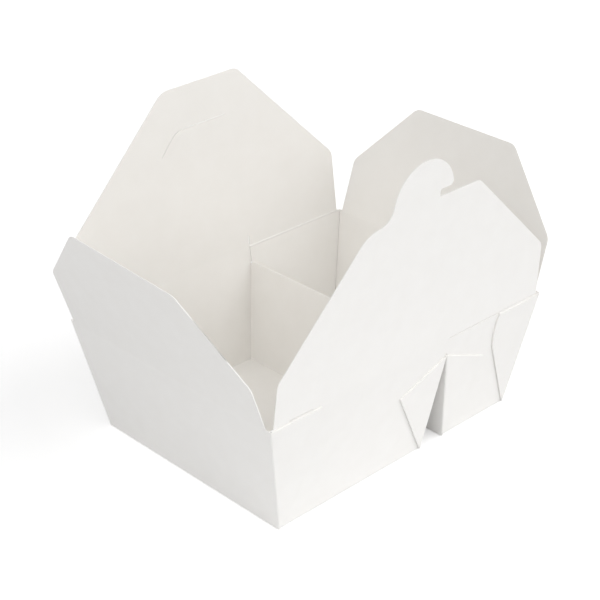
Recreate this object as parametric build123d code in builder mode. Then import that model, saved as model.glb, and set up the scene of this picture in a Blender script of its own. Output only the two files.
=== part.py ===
"""Takeout food box with two compartments, folded from one sheet of white board.

The origin is the middle of the footprint, on the surface that the box stands on. X runs along
the box, from the large compartment to the small one. The front long wall is on -Y, and its flap
carries the locking tab. The rear long wall is on +Y, and its flap has the slit for the tab.
"""
import os
from math import atan2, cos, hypot, radians, sin, tan

from build123d import *

os.makedirs("parts", exist_ok=True)

# ---------------------------------------------------------------- sizes, in mm and degrees
board = 0.5  # thickness of the sheet

large_floor = 113.5  # floor of the large compartment, along X
tunnel_width = 19.0  # foot of the divider, where its two leaves leave the floor
small_floor = 56.5  # floor of the small compartment, along X
base_width = 145.0  # both floors, along Y
wall_height = 74.0  # long walls, up to the fold of their flaps
end_lean = 15.5  # how far the rim stands out past the floor at each end
side_lean = 10.5  # the same at the front and the rear
lid_step = 1.0  # the end walls are this much lower, so their flaps close under the long ones
fold_radius = 0.9  # outside of the folds at the upright corners
ridge_drop = 11.0  # from the rim down to the ridge of the divider
ridge_hole = 1.6  # relief hole where the ridge meets a long wall, diameter

corner_web_fold = 56.0  # folded edge of a corner web, measured from the floor corner
corner_web_top = 37.0  # width of a corner web where it ends under the rim
corner_web_bulge = 1.5  # how far the cut edge of a corner web bows away from the corner
divider_web_fold = 54.5  # folded edge of the webs beside the divider
web_drop = 0.8  # the webs end this far below the rim

fold_rise = 0.5  # the flaps turn about a line this far above the rim
corner_gap = 3.2  # from the corner of the rim to the start of a flap
edge_clearance = 0.4  # between the ends of an end flap and the raised corners of the rim

end_side, end_taper = 34.5, 0.5  # upright part of an end flap's side, and how far it runs in
end_crown, end_reach = 79.0, 79.0  # free edge of an end flap, and its distance from the fold
slot_side, slot_taper = 41.0, 1.8
slot_crown, slot_reach = 58.0, 115.0
hook_side, hook_taper = 34.0, 1.4
hook_crown, hook_reach = 79.0, 95.5
flap_corner = 8.0  # rounding of the flaps' corners

tab_radius = 23.0  # locking tab: a round tongue on the free edge
tab_centre = (-5.5, 97.0)  # from the middle of the fold, and out from the fold
tab_root = 7.0  # hollow rounding where the tab starts, if there is room for it
notch_depth, notch_width = 10.5, 4.4  # undercut on the right of the tab
tip_radius = 2.5

slit_width = 0.6
lock_slit = [(-33.0, 75.5), (-21.0, 89.5), (17.0, 89.5)]  # along the fold, and out from it
lock_slit_bend = 14.0
vent_slit = (-96.0, -79.0)  # cut along the fold of the hook flap, from X to X
relief_slit = 7.0  # runs up into the slot flap above the seam of the rear wall

hook_angle = 86.0  # flaps as they stand, up from lying straight out
slot_angle = 85.0
left_angle = 71.5
right_angle = 72.5

# ---------------------------------------------------------------- worked out from the sizes
base_length = large_floor + tunnel_width + small_floor
ridge_x = large_floor + tunnel_width / 2 - base_length / 2
rim_length = base_length + 2 * end_lean
rim_width = base_width + 2 * side_lean
end_slope = atan2(end_lean, wall_height)  # lean of each wall from upright
side_slope = atan2(side_lean, wall_height)
side_slant = wall_height / cos(side_slope)  # long wall measured along its own face
end_slant = wall_height / cos(end_slope)
ridge_height = wall_height - ridge_drop
tunnel_top = ridge_height - board

# the hollow beside the tab ends where the rounded corner of the flap's free edge begins
hook_half = rim_length / 2 - corner_gap - hook_taper
hook_turn = atan2(hook_reach - hook_side, hook_half - hook_crown / 2)
tab_room = hook_crown / 2 - flap_corner * tan(hook_turn / 2) + tab_centre[0]
tab_rise = tab_centre[1] - hook_reach
widest_hollow = (tab_room**2 + tab_rise**2 - tab_radius**2) / (2 * (tab_radius + tab_rise))
tab_hollow = min(tab_root, 0.95 * widest_hollow)
beyond = 2 * rim_length  # long enough to pass through everything

front_face = Plane(
    origin=(0, -base_width / 2, 0),
    x_dir=(1, 0, 0),
    z_dir=(0, -cos(side_slope), -sin(side_slope)),
)


def tapered_block(end_inset, side_inset, bottom, top):
    """A block between two heights, its sides set in from the outer faces of the four walls."""

    def outline(half_base, slope, inset):
        low = half_base + bottom * tan(slope) - inset / cos(slope)
        high = half_base + top * tan(slope) - inset / cos(slope)
        return [(-low, bottom), (low, bottom), (high, top), (-high, top)]

    with BuildPart() as block:
        with BuildSketch(Plane.XZ):
            Polygon(*outline(base_length / 2, end_slope, end_inset), align=None)
        extrude(amount=beyond, both=True)
        with BuildSketch(Plane.YZ):
            Polygon(*outline(base_width / 2, side_slope, side_inset), align=None)
        extrude(amount=beyond, both=True, mode=Mode.INTERSECT)
    return block.part


def round_corners(part, radius):
    """The same block with its four leaning corner edges rounded."""
    with BuildPart() as rounded:
        add(part)
        leaning = rounded.edges().filter_by(Axis.X, reverse=True).filter_by(Axis.Y, reverse=True)
        fillet(leaning, radius)
    return rounded.part


# ---------------------------------------------------------------- divider
# The floor between the compartments is folded up into a tent: two leaves that meet in a ridge.
# Below the tent the tray is open, and the opening shows in both long walls.
tunnel_points = [(ridge_x - tunnel_width / 2, 0), (ridge_x, tunnel_top), (ridge_x + tunnel_width / 2, 0)]

with BuildPart() as tunnel:
    with BuildSketch(Plane.XZ):
        Polygon(*tunnel_points, align=None)
    extrude(amount=beyond, both=True)

with BuildPart() as divider:
    with BuildSketch(Plane.XZ):
        Polygon(*tunnel_points, align=None)
        offset(amount=board, kind=Kind.ARC)
        with Locations((ridge_x, wall_height / 2)):
            Rectangle(beyond, wall_height, mode=Mode.INTERSECT)
        Polygon(*tunnel_points, align=None, mode=Mode.SUBTRACT)
    extrude(amount=beyond, both=True)
    add(tapered_block(0, 0, 0, wall_height), mode=Mode.INTERSECT)

# ---------------------------------------------------------------- webs
# Where two panels meet at a fold, the board between them is creased down its middle and laid
# flat on the outside of the long wall, so it is two boards thick there. The crease halves the
# angle that is left over between the two panels.
corner_edge_lean = atan2(end_lean, side_slant)  # corner edge, seen in the long wall
corner_web_angle = (radians(90) - corner_edge_lean - atan2(side_lean, end_slant)) / 2
corner_fold_lean = corner_web_angle - corner_edge_lean

tunnel_top_slant = tunnel_top / cos(side_slope)
tunnel_edge_lean = atan2(tunnel_width / 2, tunnel_top_slant)
leaf_edge_lean = atan2(tunnel_top * tan(side_slope), hypot(tunnel_top, tunnel_width / 2))
divider_web_angle = (radians(90) - tunnel_edge_lean - leaf_edge_lean) / 2
divider_fold_lean = divider_web_angle - tunnel_edge_lean


def corner_web():
    """Outline of the web at the right-hand corner of the front wall."""
    foot = (base_length / 2, 0)
    crease = (
        foot[0] - corner_web_fold * sin(corner_fold_lean),
        corner_web_fold * cos(corner_fold_lean),
    )
    top = (base_length / 2 + end_lean - corner_web_top, side_slant)
    past_rim = (base_length / 2 + end_lean + 1, side_slant)
    with BuildSketch(front_face) as web:
        with BuildLine():
            Line(foot, crease)
            SagittaArc(crease, top, corner_web_bulge)
            Polyline(top, past_rim, (foot[0] + 1, 0), foot)
        make_face()
    return web.sketch


def divider_web():
    """Outline of the web on the left of the divider, on the front wall."""
    foot = (ridge_x - tunnel_width / 2, 0)
    crease = (
        foot[0] - divider_web_fold * sin(divider_fold_lean),
        divider_web_fold * cos(divider_fold_lean),
    )
    with BuildSketch(front_face) as web:
        Polygon(foot, (ridge_x, tunnel_top_slant), crease, align=None)
    return web.sketch


with BuildPart() as corner_webs:
    extrude(corner_web(), amount=2 * board)
    mirror(about=Plane.YZ)
    mirror(about=Plane.XZ)

with BuildPart() as divider_webs:
    extrude(divider_web(), amount=2 * board)
    mirror(about=Plane.YZ.offset(ridge_x))
    mirror(about=Plane.XZ)

with BuildPart() as webs:
    add(corner_webs.part)
    add(divider_webs.part)
    # the end walls run round the corners into the webs
    outside = tapered_block(0, -2 * board, 0, wall_height - web_drop)
    add(round_corners(outside, fold_radius), mode=Mode.INTERSECT)

# ---------------------------------------------------------------- tray
# Beyond the ridge the long walls are a second panel, which laps inside the first one: there the
# wall is two boards thick, and the edge of the lap is a seam above the ridge.
small_side = Plane.YZ.offset(ridge_x)

with BuildPart() as small_cavity:
    add(round_corners(tapered_block(board, 2 * board, board, wall_height + 1), fold_radius - board))
    split(bisect_by=small_side, keep=Keep.TOP)

with BuildPart() as large_cavity:
    add(round_corners(tapered_block(board, board, board, wall_height + 1), fold_radius - board))
    split(bisect_by=small_side, keep=Keep.BOTTOM)

with BuildPart() as tray:
    add(tapered_block(0, 0, 0, wall_height))
    add(large_cavity.part, mode=Mode.SUBTRACT)
    add(small_cavity.part, mode=Mode.SUBTRACT)
    add(divider.part)
    add(tunnel.part, mode=Mode.SUBTRACT)
    add(webs.part)
    # relief holes at both ends of the ridge
    with BuildSketch(Plane.XZ):
        with Locations((ridge_x, tunnel_top + ridge_hole / 4)):
            Circle(ridge_hole / 2)
    extrude(amount=beyond, both=True, mode=Mode.SUBTRACT)
    # lowered rim of the end walls
    with BuildSketch(Plane.YZ):
        with Locations((0, wall_height)):
            Rectangle(rim_width - 2 * corner_gap + 2 * edge_clearance, 2 * lid_step)
    extrude(amount=beyond, both=True, mode=Mode.SUBTRACT)


# ---------------------------------------------------------------- flaps
# Each flap is the same sheet carried on past a fold at the rim. It is a piece of its own here,
# because it turns about that fold.
along_x, along_y = Vector(1, 0, 0), Vector(0, 1, 0)


def flap_plane(outward, angle, fold_distance, fold_height):
    """The plane of a flap: local X runs along the fold, and local Y away from it."""
    along = along_x if outward.X == 0 else along_y
    away = outward * cos(radians(angle)) + Vector(0, 0, sin(radians(angle)))
    fold = outward * fold_distance + Vector(0, 0, fold_height)
    return Plane(origin=fold, x_dir=along, z_dir=along.cross(away))


def flap_blank(rim, side, taper, crown, reach):
    """Six-sided outline with rounded free corners, its fold centred on the origin."""
    half = rim / 2 - corner_gap
    right = [(half, 0), (half - taper, side), (crown / 2, reach)]
    left = [(-x, y) for x, y in reversed(right)]
    with BuildSketch() as blank:
        Polygon(*right, *left, align=None)
        fillet(blank.vertices().filter_by_position(Axis.Y, side / 2, reach), flap_corner)
    return blank.sketch


long_fold = wall_height + fold_rise
end_fold = wall_height - lid_step + fold_rise
end_rim = base_length / 2 + (wall_height - lid_step) * tan(end_slope)

with BuildPart() as hook_flap:
    with BuildSketch(flap_plane(-along_y, hook_angle, rim_width / 2, long_fold)) as blank:
        add(flap_blank(rim_length, hook_side, hook_taper, hook_crown, hook_reach))
        with Locations(tab_centre):
            Circle(tab_radius)
        root = (tab_centre[0] - tab_radius, hook_reach)
        fillet(blank.vertices().sort_by_distance(root)[0], tab_hollow)
        notch_end = tab_centre[0] + tab_radius - notch_depth
        with Locations((notch_end, hook_reach)):
            Rectangle(tab_radius, notch_width, align=(Align.MIN, Align.MIN), mode=Mode.SUBTRACT)
        inner = blank.vertices().sort_by_distance((notch_end, hook_reach + notch_width / 2))[:2]
        fillet(inner, notch_width / 3)
        tip = (tab_centre[0] + tab_radius, hook_reach + notch_width)
        fillet(blank.vertices().sort_by_distance(tip)[0], tip_radius)
        with Locations((vent_slit[0], 0)):
            Rectangle(
                vent_slit[1] - vent_slit[0], slit_width,
                align=(Align.MIN, Align.MIN), mode=Mode.SUBTRACT,
            )
    extrude(amount=board / 2, both=True)

with BuildPart() as slot_flap:
    with BuildSketch(flap_plane(along_y, slot_angle, rim_width / 2, long_fold)):
        add(flap_blank(rim_length, slot_side, slot_taper, slot_crown, slot_reach))
        with BuildLine():
            FilletPolyline(*lock_slit, radius=lock_slit_bend)
        trace(line_width=slit_width, mode=Mode.SUBTRACT)
        with Locations((ridge_x, relief_slit / 2)):
            Rectangle(slit_width, relief_slit, mode=Mode.SUBTRACT)
    extrude(amount=board / 2, both=True)

with BuildPart() as left_end_flap:
    with BuildSketch(flap_plane(-along_x, left_angle, end_rim, end_fold)):
        add(flap_blank(rim_width, end_side, end_taper, end_crown, end_reach))
    extrude(amount=board / 2, both=True)

with BuildPart() as right_end_flap:
    with BuildSketch(flap_plane(along_x, right_angle, end_rim, end_fold)):
        add(flap_blank(rim_width, end_side, end_taper, end_crown, end_reach))
    extrude(amount=board / 2, both=True)

# ---------------------------------------------------------------- parts, one file each
pieces = {
    "tray": tray,
    "hook_flap": hook_flap,
    "slot_flap": slot_flap,
    "left_end_flap": left_end_flap,
    "right_end_flap": right_end_flap,
}
for name, piece in pieces.items():
    piece.part.label = name
    export_step(piece.part, f"parts/{name}.step")
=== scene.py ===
"""Takeout food box, folded from one sheet of white food board, standing open.

The box stands with its long walls at the front and rear. The large compartment is on the left
and the small one on the right. Everything is in metres.
"""

import math

import bmesh
import bpy
import numpy as np
from mathutils import Matrix, Vector
from mathutils.geometry import delaunay_2d_cdt


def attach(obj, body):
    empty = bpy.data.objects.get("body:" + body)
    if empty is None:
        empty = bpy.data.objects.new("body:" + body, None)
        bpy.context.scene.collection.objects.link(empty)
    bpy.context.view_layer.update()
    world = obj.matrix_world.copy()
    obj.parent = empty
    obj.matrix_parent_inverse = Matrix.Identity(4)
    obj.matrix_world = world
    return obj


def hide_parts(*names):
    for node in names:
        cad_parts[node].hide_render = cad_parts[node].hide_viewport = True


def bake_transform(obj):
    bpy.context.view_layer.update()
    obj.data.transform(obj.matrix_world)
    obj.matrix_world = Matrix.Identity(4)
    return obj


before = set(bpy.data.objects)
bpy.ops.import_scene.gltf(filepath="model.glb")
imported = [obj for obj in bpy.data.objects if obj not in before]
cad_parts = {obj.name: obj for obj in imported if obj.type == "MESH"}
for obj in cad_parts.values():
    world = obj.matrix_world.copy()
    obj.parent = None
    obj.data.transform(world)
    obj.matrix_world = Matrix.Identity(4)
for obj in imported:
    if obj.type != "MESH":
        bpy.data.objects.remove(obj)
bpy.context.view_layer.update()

# ------------------------------------------------------------------ the two compartments
# Each is one run of the sheet: end wall, floor, and the leaf of the tented divider, scored and
# folded up. The board is 0.5 mm food board, clay-coated white outside and film-lined inside.
# Its webs run on round the corners, are creased double and glued to the outside of the long walls.
board = 0.0005
half_base = 0.0945
half_width = 0.0725
rim = 0.074
end_rim = 0.073
end_lean, side_lean = 0.0155, 0.0105  # how far the rim stands out past the base
half_tunnel, tunnel_top = 0.0095, 0.0625
large_floor = 0.1135  # from the end wall's foot to the divider's
small_floor = 2 * (half_base - half_tunnel) - large_floor
ridge_line = large_floor + half_tunnel - half_base  # the ridge, along the box from its middle
web_top = 0.0215  # from the base's corner in to the top of a corner web
end_slope = math.atan(end_lean / rim)
side_slope = math.atan(side_lean / rim)
leaf_slope = math.atan(half_tunnel / tunnel_top)
ply = 0.00054  # spacing of glued plies
score_radius = 0.0006
crease_radius = ply / 2
corner_crease, divider_crease = 0.056, 0.0545  # lengths of the webs' creases
web_bow = 0.0015  # how far a corner web's cut edge curves out
below_rim = 0.0008  # from a web's top up to the rim or the ridge
off_fold = 0.0012  # from a web's cut edge to the fold beside it
foot_relief = 0.004  # up a fold from its foot to where its web begins
rim_nick, ridge_nick, nick_end = 0.0036, 0.0024, 0.0011  # cut in where a fold meets a free edge


def board_fibre():
    """Node group: the cloudy formation of the board and the fine grain of its fibres."""
    group = bpy.data.node_groups.new("board_fibre", "ShaderNodeTree")
    link, add = group.links.new, group.nodes.new
    for name, start in (("Cloud scale", 90.0), ("Grain scale", 2200.0)):
        group.interface.new_socket(
            name, in_out="INPUT", socket_type="NodeSocketFloat"
        ).default_value = start
    group.interface.new_socket("Cloud", in_out="OUTPUT", socket_type="NodeSocketFloat")
    group.interface.new_socket("Grain", in_out="OUTPUT", socket_type="NodeSocketFloat")
    given, put_out = add("NodeGroupInput"), add("NodeGroupOutput")
    place = add("ShaderNodeTexCoord")
    cloud, grain, pulp = (add("ShaderNodeTexNoise") for _ in range(3))
    cloud.inputs["Detail"].default_value = 4.0
    cloud.inputs["Roughness"].default_value = 0.6
    grain.inputs["Detail"].default_value = 3.0
    pulp.inputs["Detail"].default_value = 2.0
    # fibres lie mostly along the machine direction, so the grain is stretched one way
    stretch = add("ShaderNodeMapping")
    stretch.inputs["Scale"].default_value = (0.35, 1.0, 1.0)
    link(place.outputs["Object"], stretch.inputs["Vector"])
    link(place.outputs["Object"], cloud.inputs["Vector"])
    link(place.outputs["Object"], pulp.inputs["Vector"])
    link(stretch.outputs["Vector"], grain.inputs["Vector"])
    link(given.outputs["Cloud scale"], cloud.inputs["Scale"])
    link(given.outputs["Grain scale"], grain.inputs["Scale"])
    pulp.inputs["Scale"].default_value = 700.0
    both = add("ShaderNodeMath")
    both.operation = "ADD"
    link(grain.outputs["Fac"], both.inputs[0])
    link(pulp.outputs["Fac"], both.inputs[1])
    spread = add("ShaderNodeMapRange")
    spread.inputs["From Min"].default_value = 0.3
    spread.inputs["From Max"].default_value = 0.7
    link(cloud.outputs["Fac"], spread.inputs["Value"])
    link(spread.outputs["Result"], put_out.inputs["Cloud"])
    link(both.outputs["Value"], put_out.inputs["Grain"])
    return group


def board_finish(name, light, deep, roughness, coat, relief, cloud_scale, grain_scale):
    """A paper finish: two near tints clouded together, a fibre grain, and its own sheen."""
    material = bpy.data.materials.new(name)
    material.use_nodes = True
    nodes, link = material.node_tree.nodes, material.node_tree.links.new
    shader = nodes["Principled BSDF"]
    fibre = nodes.new("ShaderNodeGroup")
    fibre.node_tree = fibre_group
    fibre.inputs["Cloud scale"].default_value = cloud_scale
    fibre.inputs["Grain scale"].default_value = grain_scale
    tint = nodes.new("ShaderNodeMix")
    tint.data_type = "RGBA"
    tint.inputs["A"].default_value = (*light, 1)
    tint.inputs["B"].default_value = (*deep, 1)
    link(fibre.outputs["Cloud"], tint.inputs["Factor"])
    link(tint.outputs["Result"], shader.inputs["Base Color"])
    sheen = nodes.new("ShaderNodeMapRange")
    sheen.inputs["To Min"].default_value = roughness - 0.06
    sheen.inputs["To Max"].default_value = roughness + 0.06
    link(fibre.outputs["Cloud"], sheen.inputs["Value"])
    link(sheen.outputs["Result"], shader.inputs["Roughness"])
    bump = nodes.new("ShaderNodeBump")
    bump.inputs["Strength"].default_value = 1.0
    bump.inputs["Distance"].default_value = relief
    link(fibre.outputs["Grain"], bump.inputs["Height"])
    link(bump.outputs["Normal"], shader.inputs["Normal"])
    shader.inputs["Specular IOR Level"].default_value = 0.35
    shader.inputs["Coat Weight"].default_value = coat
    shader.inputs["Coat Roughness"].default_value = 0.45
    return material


fibre_group = board_fibre()
coated_side = board_finish(
    "coated_side", light=(0.90, 0.89, 0.872), deep=(0.885, 0.873, 0.853),
    roughness=0.55, coat=0.0, relief=0.000012, cloud_scale=90, grain_scale=2200,
)
lined_side = board_finish(
    "lined_side", light=(0.922, 0.904, 0.872), deep=(0.907, 0.887, 0.852),
    roughness=0.45, coat=0.08, relief=0.000010, cloud_scale=70, grain_scale=1800,
)
cut_edge = board_finish(
    "cut_edge", light=(0.93, 0.92, 0.90), deep=(0.90, 0.885, 0.86),
    roughness=0.8, coat=0.0, relief=0.00003, cloud_scale=900, grain_scale=6000,
)


class Fold:
    """A scored line on the flat sheet, and the turn of the board past it towards its lining."""

    def __init__(self, at, out, turn, radius, after=None, span=0.09):
        self.at, self.out = np.array(at), np.array(out) / np.linalg.norm(out)
        self.span = span
        self.along = np.array((-self.out[1], self.out[0]))
        self.turn, self.radius, self.after = turn, radius, after
        self.arc = radius * abs(turn)

    def past(self, flat):
        """How far each flat point is past the line, below zero where the board isn't turned."""
        distance = (flat - self.at) @ self.out
        if self.after is not None:
            distance = np.where(self.after.past(flat) > 0, distance, -1.0)
        return distance

    def bend(self, placed, flat):
        """The placed points again, with those past the line turned round it."""
        past = self.past(flat)
        angle = self.turn * np.clip(past / self.arc, 0, 1)
        rounding = np.clip(past, 0, self.arc)
        side = math.copysign(1.0, self.turn)
        in_plane = placed[:, :2] - self.at
        run, reach, height = in_plane @ self.along, in_plane @ self.out, placed[:, 2]
        more = reach - rounding
        new_reach = (
            self.radius * np.sin(np.abs(angle)) + more * np.cos(angle) - height * np.sin(angle)
        )
        new_height = (
            side * self.radius * (1 - np.cos(angle))
            + more * np.sin(angle)
            + height * np.cos(angle)
        )
        turned = np.column_stack(
            [self.at + np.outer(run, self.along) + np.outer(new_reach, self.out), new_height]
        )
        return np.where((past > 0)[:, None], turned, placed)

    def scores(self, lines=5):
        """Lines along the rounding, where the board bends."""
        reach = self.along * self.span
        starts = [self.at + self.out * self.arc * i / lines for i in range(lines + 1)]
        return [(start - reach, start + reach) for start in starts]


def setback(turn, radius):
    """From the sharp corner of two panels back to where the rounding starts."""
    return radius * math.tan(abs(turn) / 2)


def folded(folds, origin, x_dir, y_dir):
    """The shape of a folded sheet, for points given on the flat."""
    axes = np.array([x_dir, y_dir, np.cross(x_dir, y_dir)])

    def shape(flat):
        placed = np.column_stack([flat, np.zeros(len(flat))])
        for fold in reversed(folds):
            placed = fold.bend(placed, flat)
        return placed @ axes + np.array(origin)

    return shape


def divided(loop, pitch):
    """The loop again, with its longer runs divided."""
    points = []
    for (x0, y0), (x1, y1) in zip(loop, loop[1:] + loop[:1]):
        parts = max(1, math.ceil(math.hypot(x1 - x0, y1 - y0) / pitch))
        points += [(x0 + (x1 - x0) * i / parts, y0 + (y1 - y0) * i / parts) for i in range(parts)]
    return points


def within(points, loop):
    """Which of the points lie inside the loop."""
    x, y = points[:, 0], points[:, 1]
    found = np.zeros(len(points), bool)
    for (x0, y0), (x1, y1) in zip(loop, loop[1:] + loop[:1]):
        if y0 != y1:
            found ^= ((y0 > y) != (y1 > y)) & (x < x0 + (y - y0) * (x1 - x0) / (y1 - y0))
    return found


def cut_board(name, outline, shape, lining=1, windows=(), folds=(), lines=(), pitch=0.004):
    """Board die-cut to an outline on the flat and then bent to a shape.

    Its lined side is up on the flat, or down where lining is -1.
    """
    scores = [line for fold in folds for line in fold.scores()] + list(lines)
    loops = [divided([tuple(p) for p in loop], pitch) for loop in (outline, *windows)]
    points, edges = [], []
    for loop in loops:
        first = len(points)
        points += loop
        edges += [(first + i, first + (i + 1) % len(loop)) for i in range(len(loop))]
    border = np.array(points)
    low, high = border.min(0), border.max(0)
    columns = np.arange(low[0] + pitch / 2, high[0], pitch)
    rows = np.arange(low[1] + pitch / 2, high[1], pitch * 0.87)
    field = np.array(
        [(x + pitch / 2 * (j % 2), y) for j, y in enumerate(rows) for x in columns]
    ).reshape(-1, 2)
    keep = within(field, loops[0])
    for loop in loops[1:]:
        keep &= ~within(field, loop)
    gap = np.linalg.norm(field[:, None] - border[None], axis=2).min(1)
    keep &= gap > pitch * 0.55
    for start, end in scores:
        along = (end - start) / np.linalg.norm(end - start)
        keep &= np.abs((field - start) @ np.array((-along[1], along[0]))) > pitch * 0.3
        edges.append((len(points), len(points) + 1))
        points += [tuple(start), tuple(end)]
    points += [tuple(p) for p in field[keep]]

    found = delaunay_2d_cdt([Vector(p) for p in points], edges, [], 0, 1e-7)
    flat = np.array([tuple(p) for p in found[0]])
    triangles = np.array(found[2])
    centres = flat[triangles].mean(1)
    keep = within(centres, loops[0])
    for loop in loops[1:]:
        keep &= ~within(centres, loop)
    triangles = triangles[keep]

    middle, tiny = shape(flat), 1e-6
    over = shape(flat + (tiny, 0)) - shape(flat - (tiny, 0))
    up = shape(flat + (0, tiny)) - shape(flat - (0, tiny))
    normal = np.cross(over, up)
    normal *= lining / np.linalg.norm(normal, axis=1)[:, None]

    mesh = bmesh.new()
    lined, coated, facing = {}, {}, []
    for i in np.unique(triangles):
        lined[i] = mesh.verts.new(middle[i] + normal[i] * board / 2)
        coated[i] = mesh.verts.new(middle[i] - normal[i] * board / 2)
        facing += [normal[i], -normal[i]]
    open_edges = {}
    for a, b, c in triangles:
        mesh.faces.new((lined[a], lined[b], lined[c])).material_index = 0
        mesh.faces.new((coated[c], coated[b], coated[a])).material_index = 1
        for start, end in ((a, b), (b, c), (c, a)):
            if (end, start) in open_edges:
                del open_edges[end, start]
            else:
                open_edges[start, end] = True
    for start, end in open_edges:
        rim_face = (lined[end], lined[start], coated[start], coated[end])
        mesh.faces.new(rim_face).material_index = 2
    for face in mesh.faces:
        face.smooth = True
    if lining < 0:
        bmesh.ops.reverse_faces(mesh, faces=mesh.faces)
    data = bpy.data.meshes.new(name)
    mesh.to_mesh(data)
    mesh.free()
    # the sheet faces shade by the board's own smooth surface, and the cut edge stays crisp
    data.normals_split_custom_set(
        [
            tuple(face.normal if face.material_index == 2 else facing[data.loops[i].vertex_index])
            for face in data.polygons
            for i in face.loop_indices
        ]
    )
    for finish in (lined_side, coated_side, cut_edge):
        data.materials.append(finish)
    piece = bpy.data.objects.new(name, data)
    bpy.context.scene.collection.objects.link(piece)
    return piece


def web(corner, foot, fold, angle, edge_points):
    """Outer and inner ply of a web on the flat, from its free foot round to its panel.

    edge_points are on the panel that it is glued to: how far in from the fold's sharp corner,
    and how far along it, starting at the crease and ending beside the fold.
    """
    along = fold.along * math.copysign(1.0, fold.along @ corner)
    crease_out = fold.out * math.cos(angle) - along * math.sin(angle)
    crease = Fold(foot, crease_out, math.pi, crease_radius, after=fold, span=0.07)
    outer = [foot + along * run + fold.out * reach for reach, run in edge_points]
    inner = []
    for point in outer:
        short = (crease.at - point) @ crease.out
        inner.append(point + crease.out * (2 * short + crease.arc))
    return crease, outer, inner


def web_edge(length, angle, top_reach, top_run, bow):
    """The cut edge of a web from the end of its crease to its top, bowed away from the fold."""
    start = np.array((length * math.sin(angle), length * math.cos(angle)))
    end = np.array((top_reach, top_run))
    across = np.array(((end - start)[1], -(end - start)[0]))
    across /= np.linalg.norm(across)
    across *= math.copysign(1.0, across[0])
    return [
        tuple(start + (end - start) * i / 8 + across * bow * 4 * i / 8 * (1 - i / 8))
        for i in range(9)
    ]


def mirrored(shape, axis):
    """The same shape on the other side of the middle."""

    def other_side(flat):
        placed = shape(flat)
        placed[:, axis] *= -1
        return placed

    return other_side


def beyond_fold(side, low, high, angle, panel_fold):
    """Edge of a panel that folds on into a web: the fold, its way, and where the web's foot is."""
    way = (high - low) / np.linalg.norm(high - low)
    out = np.array((-way[1], way[0])) * math.copysign(1.0, way[0] * side)
    back = setback(angle, score_radius)
    fold = Fold(low - out * back, out, angle, score_radius, after=panel_fold)
    return fold, way, low + out * (fold.arc - 2 * back)


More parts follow.
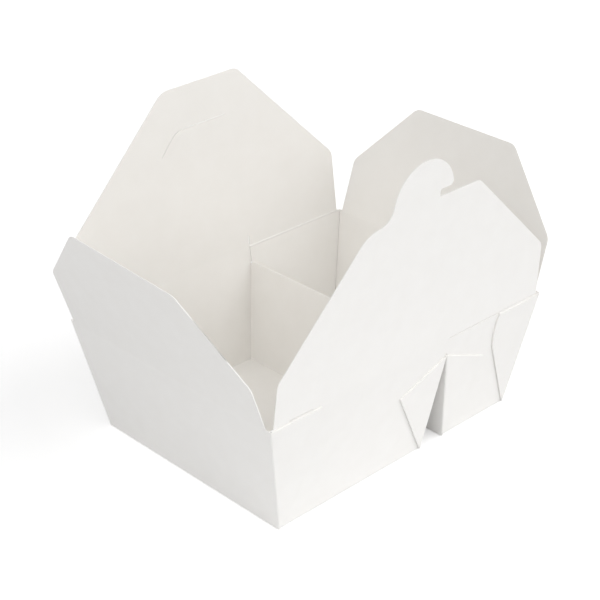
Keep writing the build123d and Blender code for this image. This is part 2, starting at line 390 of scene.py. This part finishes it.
def compartment(floor_length):
    """Outline and folds of one run: from an end wall's rim to the middle of the divider's ridge.

    On the flat it lies along X from the foot of its end wall, with the floor's middle at Y 0.
    """
    wall_turn = math.pi / 2 - end_slope
    wall_back = setback(wall_turn, score_radius)
    wall_foot = board / 2 * (1 / math.cos(end_slope) - math.tan(end_slope))
    end_fold = Fold((wall_foot + wall_back, 0), (-1, 0), wall_turn, score_radius)

    leaf_turn = math.pi / 2 - leaf_slope
    leaf_back = setback(leaf_turn, score_radius)
    leaf_foot = floor_length + board / 2 * (math.tan(leaf_slope) - 1 / math.cos(leaf_slope))
    leaf_fold = Fold((leaf_foot - leaf_back, 0), (1, 0), leaf_turn, score_radius)

    def on_wall(height):
        slant = (height - board / 2) / math.cos(end_slope)
        return end_fold.at[0] - (slant - wall_back + end_fold.arc)

    def on_leaf(height):
        slant = (height - board / 2) / math.cos(leaf_slope)
        return leaf_fold.at[0] + slant - leaf_back + leaf_fold.arc

    def outside(height):
        """Distance from the middle to the outer plies of the webs."""
        plies = (2 * ply - board / 2) / math.cos(side_slope)
        return half_width + height * math.tan(side_slope) + plies

    ridge = board / 2 + (floor_length + half_tunnel - leaf_foot) / math.tan(leaf_slope)
    ridge_x = on_leaf(ridge) - setback(leaf_turn, crease_radius)
    ridge_fold = Fold((ridge_x, 0), (1, 0), -leaf_turn, crease_radius, after=leaf_fold)
    folds = [end_fold, leaf_fold, ridge_fold]
    halves = []
    for side in (1, -1):
        foot = np.array((on_wall(board / 2), side * outside(board / 2)))
        top = np.array((on_wall(rim), side * outside(rim)))
        turn = math.acos(math.sin(end_slope) * math.sin(side_slope))
        corner_fold, way, foot = beyond_fold(side, foot, top, turn, end_fold)
        long_slant = rim / math.cos(side_slope)
        lean = math.atan(end_lean / long_slant)
        angle = (math.pi / 2 - lean - math.atan(side_lean * math.cos(end_slope) / rim)) / 2
        web_slant = (rim - below_rim) / math.cos(side_slope)
        reach = web_top * math.cos(lean) + web_slant * math.sin(lean)
        run = -web_top * math.sin(lean) + web_slant * math.cos(lean)
        cut = web_edge(corner_crease, angle, reach, run, web_bow)
        cut.append((off_fold, web_slant / math.cos(lean) - off_fold * math.tan(lean)))
        crease, outer, inner = web(way, foot, corner_fold, angle, cut)
        free = foot + way * foot_relief + corner_fold.out * off_fold
        free = free + crease.out * (2 * ((crease.at - free) @ crease.out) + crease.arc)
        folds += [corner_fold, crease]
        half = [
            (on_wall(end_rim), side * (outside(rim) - rim_nick)),
            (on_wall(rim), side * (outside(rim) - rim_nick)),
            (on_wall(rim), side * (outside(rim) - nick_end)),
            *outer[::-1],
            *inner,
            free,
            (end_fold.at[0], side * floor_edge),
        ]

        foot = np.array((on_leaf(board / 2), side * outside(board / 2)))
        top = np.array((on_leaf(tunnel_top), side * outside(tunnel_top)))
        turn = math.acos(math.sin(leaf_slope) * math.sin(side_slope))
        edge_fold, way, foot = beyond_fold(side, foot, top, turn, leaf_fold)
        top_slant = tunnel_top / math.cos(side_slope)
        lean = math.atan(half_tunnel / top_slant)
        leaf_lean = math.atan(
            tunnel_top * math.tan(side_slope) / math.hypot(tunnel_top, half_tunnel)
        )
        angle = (math.pi / 2 - lean - leaf_lean) / 2
        web_run = top_slant / math.cos(lean) - below_rim
        cut = web_edge(divider_crease, angle, below_rim, web_run, 0.0)
        crease, outer, inner = web(way, foot, edge_fold, angle, cut)
        free = foot + way * foot_relief + edge_fold.out * off_fold
        free = free + crease.out * (2 * ((crease.at - free) @ crease.out) + crease.arc)
        folds += [edge_fold, crease]
        half += [
            (leaf_fold.at[0], side * floor_edge),
            free,
            *inner[::-1],
            *outer,
            (ridge_x - off_fold, side * (outside(tunnel_top) - nick_end)),
            (ridge_x + ridge_fold.arc, side * (outside(tunnel_top) - ridge_nick)),
        ]
        halves.append(half)
    return halves[0] + halves[1][::-1], folds


floor_turn = math.pi / 2 - side_slope
wall_middle = half_width + board / 2 * (math.tan(side_slope) - 1 / math.cos(side_slope))
floor_edge = wall_middle - setback(floor_turn, score_radius)

for name, floor_length, way in (("large_bay", large_floor, 1), ("small_bay", small_floor, -1)):
    outline, folds = compartment(floor_length)
    shape = folded(folds, (-half_base, 0, board / 2), (1, 0, 0), (0, 1, 0))
    if way < 0:
        shape = mirrored(shape, 0)
    bay = cut_board(name, outline, shape, lining=way, folds=folds)
    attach(bay, "tray")
    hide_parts("tray")

# ------------------------------------------------------------------ long walls
# Front and rear wall, each one panel of the sheet with a notch cut from its foot for the tunnel
# under the divider, and a small relief hole where the ridge pinches the wall.
wall_clear, notch_clear = 0.00002, 0.00003  # to the end walls, and to the divider's leaves
notch_top, relief_height, relief_radius = 0.0615, 0.0629, 0.0008


def long_wall():
    """Outline and folds of a long wall, X along the box and Y up the wall from its foot."""

    def up(height):
        return (height - board / 2) / math.cos(side_slope)

    def end(height):
        return half_base + height * math.tan(end_slope) - board / math.cos(end_slope) - wall_clear

    def notch(height):
        leaf_edge = half_tunnel - height * math.tan(leaf_slope)
        return leaf_edge + board / math.cos(leaf_slope) + notch_clear

    floor_fold = Fold((0, setback(floor_turn, score_radius)), (0, -1), floor_turn, score_radius)
    floor_fold.span = 0.13
    foot = floor_fold.at[1] - floor_fold.arc
    hole = [
        (
            ridge_line + relief_radius * math.cos(angle),
            up(relief_height) + relief_radius * math.sin(angle),
        )
        for angle in np.linspace(math.radians(215), math.radians(-35), 14)
    ]
    outline = [
        (-end(board / 2), foot),
        (ridge_line - notch(board / 2), foot),
        (ridge_line - notch(notch_top), up(notch_top)),
        *hole,
        (ridge_line + notch(notch_top), up(notch_top)),
        (ridge_line + notch(board / 2), foot),
        (end(board / 2), foot),
        (end(rim), up(rim)),
        (-end(rim), up(rim)),
    ]
    return outline, [floor_fold]


wall_way = (0, math.sin(side_slope), math.cos(side_slope))
for name, side in (("rear_wall", 1), ("front_wall", -1)):
    outline, folds = long_wall()
    shape = folded(folds, (0, wall_middle, board / 2), (1, 0, 0), wall_way)
    if side < 0:
        shape = mirrored(shape, 1)
    wall = cut_board(name, outline, shape, lining=side, folds=folds)
    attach(wall, "tray")
    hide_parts("tray")

# ------------------------------------------------------------------ lapped panels
# In the small compartment each long wall is lined with a second panel, glued flat inside it. Its
# free edge follows the divider's leaf up and leaves a seam above the ridge.
lap_top = rim - 0.0004  # just under the rim, clear of a flap that lies closed
lap_foot, leaf_top, seam_foot = 0.0008, 0.0628, 0.0645
lap_clear, leaf_clear = 0.0003, 0.0002  # to the end wall, and to the divider's leaf


def lap():
    """Outline of the inner panel, X along the box and Y up the wall from its foot."""

    def up(height):
        return (height - board / 2) / math.cos(side_slope)

    def end(height):
        return half_base + height * math.tan(end_slope) - board / math.cos(end_slope) - lap_clear

    def leaf(height):
        away = half_tunnel - height * math.tan(leaf_slope) + board / math.cos(leaf_slope)
        return ridge_line + away + leaf_clear

    return [
        (leaf(lap_foot), up(lap_foot)),
        (end(lap_foot), up(lap_foot)),
        (end(lap_top), up(lap_top)),
        (ridge_line, up(lap_top)),
        (ridge_line, up(seam_foot)),
        (leaf(leaf_top), up(leaf_top)),
    ]


for name, side in (("rear_lap", 1), ("front_lap", -1)):
    inward = (0, wall_middle - ply * math.cos(side_slope), board / 2 + ply * math.sin(side_slope))
    shape = folded([], inward, (1, 0, 0), wall_way)
    if side < 0:
        shape = mirrored(shape, 1)
    panel = cut_board(name, lap(), shape, lining=side)
    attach(panel, "tray")
    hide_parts("tray")

# ------------------------------------------------------------------ lid flaps
# Four flaps of the same sheet, die-cut to six-sided outlines with rounded corners and folded up
# past the rim, where a scored strip of the board joins each one to its wall.


def arc(centre, radius, start, end, parts=10):
    """Points of an arc, its angles in degrees."""
    return [
        (centre[0] + radius * math.cos(a), centre[1] + radius * math.sin(a))
        for a in np.radians(np.linspace(start, end, parts + 1))
    ]


def rounded(before, corner, after, radius):
    """An arc in place of a corner."""
    corner = np.array(corner)
    to_before = (np.array(before) - corner) / np.linalg.norm(np.array(before) - corner)
    to_after = (np.array(after) - corner) / np.linalg.norm(np.array(after) - corner)
    half = math.acos(float(to_before @ to_after)) / 2
    bisector = (to_before + to_after) / np.linalg.norm(to_before + to_after)
    centre = corner + bisector * radius / math.sin(half)
    first, last = (corner + t * radius / math.tan(half) - centre for t in (to_before, to_after))
    start = math.atan2(first[1], first[0])
    sweep = (math.atan2(last[1], last[0]) - start + math.pi) % (2 * math.pi) - math.pi
    return [
        tuple(centre + radius * np.array((math.cos(a), math.sin(a))))
        for a in np.linspace(start, start + sweep, 9)
    ]


flap_rounding = 0.008
fold_height = 0.0005  # the flaps turn about a line this far above the rim
crease_reach = 0.0006  # the scored strip beside the fold runs this far up the flap
bend_start = 0.0001  # the strip begins to bend this far above the rim
hook_taper, slot_taper, end_taper = 0.0014, 0.0018, 0.0005  # how far a flap's sides run in
long_fold_half = half_base + end_lean - 0.0032
end_fold_half = half_width + side_lean - 0.0027


def flap_side(half_fold, taper, half, towards, radius=flap_rounding):
    """Right-hand side of a flap, from near its fold round to its free edge.

    half is the upright part of the side, then the corner of the free edge: how far along from the
    fold's middle, and how far out. towards is where the free edge runs on to.
    """
    side, crown, reach = half
    foot = (half_fold - taper * crease_reach / side, crease_reach)
    shoulder = (half_fold - taper, side)
    return [
        foot,
        *rounded(foot, shoulder, (crown, reach), flap_rounding),
        *rounded(shoulder, (crown, reach), towards, radius),
    ]


def left_hand(side):
    """The same side on the left, from the free edge back to the fold."""
    return [(-x, y) for x, y in reversed(side)]


def plain_flap(half_fold, taper, right, left, left_radius=flap_rounding):
    """Outline of a flap whose free edge runs straight between its two corners."""
    return [
        *flap_side(half_fold, taper, right, (-left[1], left[2])),
        *left_hand(flap_side(half_fold, taper, left, (-right[1], right[2]), left_radius)),
    ]


def standing(outward, distance, height, angle):
    """Shape of a flap that stands at an angle up from lying straight out."""
    outward = np.array(outward)
    along = np.array((0.0, 1.0, 0.0)) if outward[0] else np.array((1.0, 0.0, 0.0))
    lean = math.radians(angle)
    away = outward * math.cos(lean) + np.array((0, 0, math.sin(lean)))
    origin = outward * distance + np.array((0, 0, height))

    def shape(flat):
        return origin + np.outer(flat[:, 0], along) + np.outer(flat[:, 1], away)

    return shape


def crease_strip(name, body, spans, flap_shape, lining, fold_line):
    """The scored strip of board that joins a flap to its wall, bent from the flap down to the wall.

    Each span is where it starts and ends along the fold, and the way down to its wall's board.
    """
    across = [(np.array((-0.12, v)), np.array((0.12, v))) for v in (-3e-4, -1.5e-4, 0, 2e-4, 4e-4)]
    for number, (start, end, to_wall) in enumerate(spans):

        def shape(flat, to_wall=to_wall):
            on_fold = flap_shape(np.column_stack([flat[:, 0], np.maximum(flat[:, 1], 0)]))
            below = np.clip(-flat[:, 1] / fold_height, 0, 1)
            return on_fold + np.outer(below, to_wall)

        corners = [
            (start, -fold_height), (end, -fold_height), (end, crease_reach), (start, crease_reach)
        ]
        strip = cut_board(f"{name}_{number + 1}", corners, shape, lining, lines=across)
        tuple(fold_line[0])
        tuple(fold_line[1])
        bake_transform(strip)


def lid_flap(name, outline, shape, lining, windows=()):
    """One flap, cut out and standing on its fold, on a body of its own."""
    flap = cut_board(name, outline, shape, lining, windows)
    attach(flap, name)
    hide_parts(name)


# how the wall lies under each fold: from the fold's line back to the middle of the wall's board
rim_middle = wall_middle + (rim - board / 2) * math.tan(side_slope)
long_distance = rim_middle + fold_height * math.tan(side_slope)
long_height = rim + fold_height
end_middle = half_base + end_rim * math.tan(end_slope) - board / 2 / math.cos(end_slope)
end_distance = end_middle + fold_height * math.tan(end_slope)
end_height = end_rim + fold_height


def to_long_wall(side, inward=0.0):
    """From a long flap's fold down to the middle of the board under it."""
    return (0, side * (rim_middle - inward - long_distance), -fold_height)


# front flap, with a hooked locking tab on its free edge and a vent slit along its fold; left of
# the tab its free edge is a little lower and its corner softer
hook_reach, soft_corner = 0.0955, 0.020
tab_radius, catch_radius, hollow_radius, nick_radius = 0.023, 0.0025, 0.010, 0.00147
tab_hollow, catch = (-0.0382, 0.1013), (0.014276, 0.1024)
hook_right = flap_side(long_fold_half, hook_taper, (0.034, 0.0395, hook_reach), (0, hook_reach))
hook_left = left_hand(
    flap_side(long_fold_half, hook_taper, (0.0255, 0.047, 0.090), (0.0382, 0.0913), soft_corner)
)
tab_middle = (-0.0055, 0.097)
nick_foot, nick_top, nick_right = (0.007, hook_reach), (0.007, 0.0999), (0.017, 0.0999)
tab = [
    *rounded((0.03, hook_reach), nick_foot, nick_top, nick_radius),
    *rounded(nick_foot, nick_top, nick_right, nick_radius),
    *arc(catch, catch_radius, -90, 15.3),
    *arc(tab_middle, tab_radius, 15.3, 172.5, 40),
    *arc(tab_hollow, hollow_radius, -7.5, -90, 8),
]
vent, vent_foot = (-0.096, -0.079), 0.0001
hook_outline = [
    (-long_fold_half, crease_reach),
    (vent[0], crease_reach),
    (vent[0], vent_foot),
    (vent[1], vent_foot),
    (vent[1], crease_reach),
    *hook_right,
    *tab,
    *hook_left[:-1],
]
hook_shape = standing((0, -1, 0), long_distance, long_height, 86.0)
lid_flap("hook_flap", hook_outline, hook_shape, -1)
front_fold = ((0, -long_distance, rim + bend_start), (0, -long_distance, long_height + crease_reach))
front_spans = [
    (-long_fold_half, vent[0], to_long_wall(-1)),
    (vent[1], ridge_line, to_long_wall(-1)),
    (ridge_line, long_fold_half, to_long_wall(-1, ply)),
]
crease_strip("front_crease", "hook_flap", front_spans, hook_shape, -1, front_fold)

# rear flap, with a bent slit for the tab and a short relief cut over the seam of the rear wall
slot_outline = plain_flap(
    long_fold_half, slot_taper, (0.041, 0.029, 0.1153), (0.042, 0.029, 0.1142), 0.014
)
slit_foot, slit_bend, slit_end = (-0.033, 0.0755), (-0.021, 0.0887), (0.017, 0.0892)
slit_half = 0.00018
middle_line = [slit_foot, *rounded(slit_foot, slit_bend, slit_end, 0.014), slit_end]
lock_slit = []
for sign in (1, -1):
    edge = []
    for i, point in enumerate(middle_line):
        back, ahead = middle_line[max(i - 1, 0)], middle_line[min(i + 1, len(middle_line) - 1)]
        run = np.array(ahead) - np.array(back)
        across = np.array((-run[1], run[0])) / np.linalg.norm(run) * slit_half * sign
        edge.append(tuple(np.array(point) + across))
    lock_slit += edge[::sign]
relief_half, relief_low, relief_high = 0.0003, 0.0009, 0.007
relief = [
    (ridge_line - relief_half, relief_low), (ridge_line + relief_half, relief_low),
    (ridge_line + relief_half, relief_high), (ridge_line - relief_half, relief_high),
]
slot_shape = standing((0, 1, 0), long_distance, long_height, 85.0)
lid_flap("slot_flap", slot_outline, slot_shape, 1, [lock_slit, relief])
rear_fold = ((0, long_distance, rim + bend_start), (0, long_distance, long_height + crease_reach))
rear_spans = [
    (-long_fold_half, ridge_line, to_long_wall(1)),
    (ridge_line, long_fold_half, to_long_wall(1, ply)),
]
crease_strip("rear_crease", "slot_flap", rear_spans, slot_shape, 1, rear_fold)

# end flaps, plain, with the corners of their free edges not quite alike
for name, way, angle, rear_half, front_half in (
    ("left_end_flap", -1, 71.5, (0.039, 0.041, 0.081), (0.029, 0.0395, 0.074)),
    ("right_end_flap", 1, 72.5, (0.0355, 0.0385, 0.0803), (0.033, 0.0395, 0.079)),
):
    shape = standing((way, 0, 0), end_distance, end_height, angle)
    lid_flap(name, plain_flap(end_fold_half, end_taper, rear_half, front_half), shape, -way)
    start = (way * end_distance, 0, end_rim + bend_start)
    end = (way * end_distance, 0, end_height + crease_reach * math.sin(math.radians(angle)))
    to_end_wall = (way * (end_middle - end_distance), 0, -fold_height)
    end_span = [(-end_fold_half, end_fold_half, to_end_wall)]
    crease_strip(name.replace("end_flap", "crease"), name, end_span, shape, -way, (start, end))

# ------------------------------------------------------------------ table, light and camera
# A plain white table under a white sky, broad soft lamps, and a camera above the
# corner between the left end and the front.
sky_level, front_strength, left_strength = 0.35, 1.57, 1.19
table_mesh = bpy.data.meshes.new("table")
table_mesh.from_pydata([(-4, -4, 0), (4, -4, 0), (4, 4, 0), (-4, 4, 0)], [], [(0, 1, 2, 3)])
table = bpy.data.objects.new("table", table_mesh)
bpy.context.scene.collection.objects.link(table)
table.location.z = -0.0002
table_paint = bpy.data.materials.new("white_table")
table_paint.use_nodes = True
nodes, link = table_paint.node_tree.nodes, table_paint.node_tree.links.new
paint = nodes["Principled BSDF"]
paint.inputs["Base Color"].default_value = (0.9, 0.9, 0.9, 1)
paint.inputs["Roughness"].default_value = 0.9
paint.inputs["Specular IOR Level"].default_value = 0.0
paint.inputs["Emission Color"].default_value = (1, 1, 1, 1)
seen = nodes.new("ShaderNodeLightPath")
glow = nodes.new("ShaderNodeMath")
glow.operation = "MULTIPLY"
glow.inputs[1].default_value = 0.35
link(seen.outputs["Is Camera Ray"], glow.inputs[0])
link(glow.outputs["Value"], paint.inputs["Emission Strength"])
table_mesh.materials.append(table_paint)

world = bpy.data.worlds.new("studio")
bpy.context.scene.world = world
world.use_nodes = True
nodes, link = world.node_tree.nodes, world.node_tree.links.new
seen = nodes.new("ShaderNodeLightPath")
glossy = nodes.new("ShaderNodeMath")
glossy.operation = "MAXIMUM"
link(seen.outputs["Is Camera Ray"], glossy.inputs[0])
link(seen.outputs["Is Glossy Ray"], glossy.inputs[1])
strength = nodes.new("ShaderNodeMapRange")
strength.inputs["To Min"].default_value = sky_level
strength.inputs["To Max"].default_value = 1.0
link(glossy.outputs["Value"], strength.inputs["Value"])
background = nodes["Background"]
background.inputs["Color"].default_value = (1, 1, 1, 1)
link(strength.outputs["Result"], background.inputs["Strength"])


def lamp(name, came_from, softness, strength):
    """A broad even lamp far off, given by where it shines from."""
    light = bpy.data.lights.new(name, "SUN")
    light.angle, light.energy = math.radians(softness), strength
    holder = bpy.data.objects.new(name, light)
    bpy.context.scene.collection.objects.link(holder)
    holder.rotation_euler = Vector(came_from).to_track_quat("Z", "Y").to_euler()


lamp("front_lamp", (0.75, -1.0, 0.9), 60, front_strength)
lamp("left_lamp", (-1.0, -0.3, 1.0), 70, left_strength)

lens = bpy.data.cameras.new("camera")
lens.sensor_width = 36
lens.lens = 90.92
lens.clip_start, lens.clip_end = 0.01, 20
camera = bpy.data.objects.new("camera", lens)
bpy.context.scene.collection.objects.link(camera)
sight = Matrix(
    ((0.7166, 0.3265, -0.6164), (-0.6975, 0.3354, -0.6333), (0.0, 0.8837, 0.4681))
).to_4x4()
sight.translation = (-0.5485, -0.5559, 0.4912)
camera.matrix_world = sight
bpy.context.scene.camera = camera
bpy.context.scene.view_settings.view_transform = "Standard"
